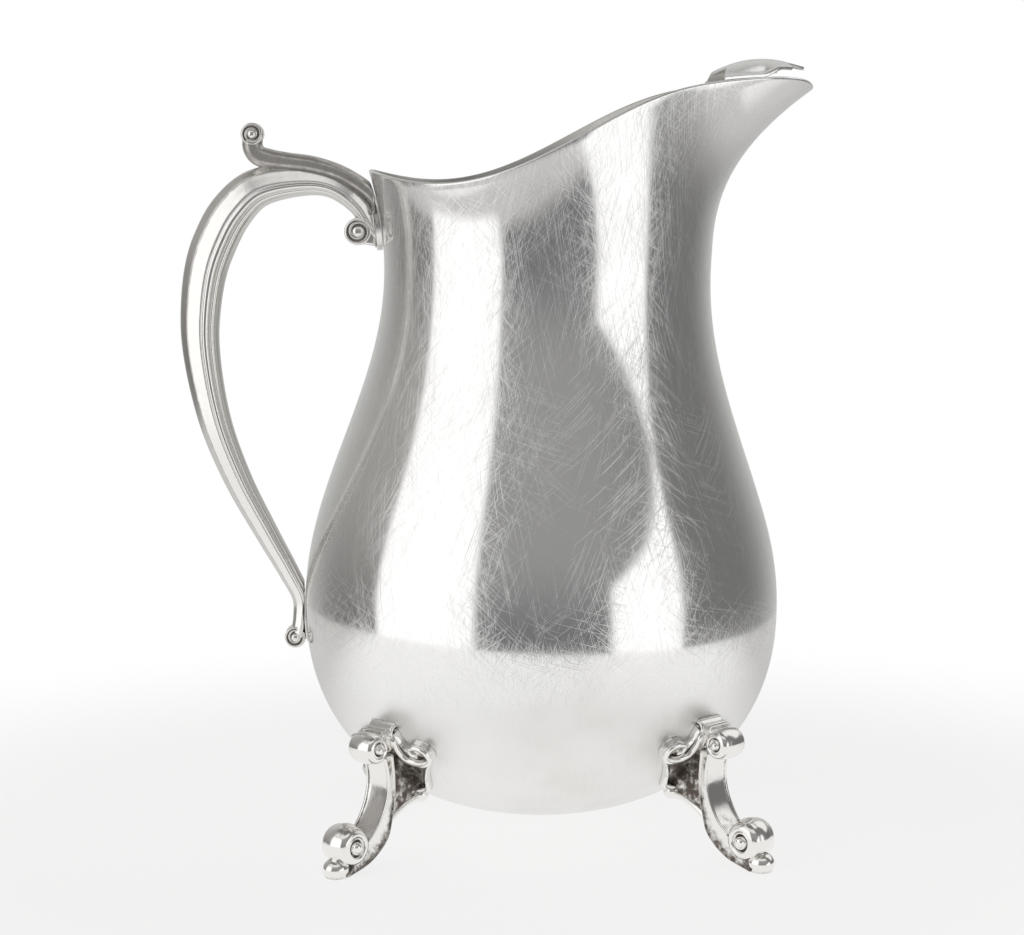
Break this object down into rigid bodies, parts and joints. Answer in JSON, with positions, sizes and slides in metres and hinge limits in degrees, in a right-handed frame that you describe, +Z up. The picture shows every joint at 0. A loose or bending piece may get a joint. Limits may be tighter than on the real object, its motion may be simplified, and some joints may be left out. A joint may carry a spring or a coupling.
{
  "type": "pitcher",
  "caption": "Pear-shaped silver-plated pitcher with a flared spout, a bridging ice guard, a cast scroll handle with thumb rest, and cast scroll feet.",
  "frame": {"origin": "on the table under the middle of the whole object's box; the vessel's own axis is 13.1 mm towards the spout", "axes": "+Z up, +X towards the spout, -X towards the handle, +Y away from the picture's viewer"},
  "size_m": [0.1932, 0.146, 0.2365],
  "materials": {
    "polished_plate": "polished silver plate with fine hairline scratches",
    "cast_plate": "cast and polished silver plate, darker in the grooves",
    "cast_feet": "cast silver plate with brown tarnish in the recesses"
  },
  "bodies": {
    "root": {"body_shell": "polished_plate", "ice_guard": "polished_plate", "handle": "cast_plate", "thumb_scroll": "cast_plate", "handle_upper_plate": "cast_plate", "handle_lower_plate": "cast_plate", "foot_front_right": "cast_feet", "foot_front_left": "cast_feet", "foot_rear_left": "cast_feet", "foot_rear_right": "cast_feet"}
  },
  "joints": []
}
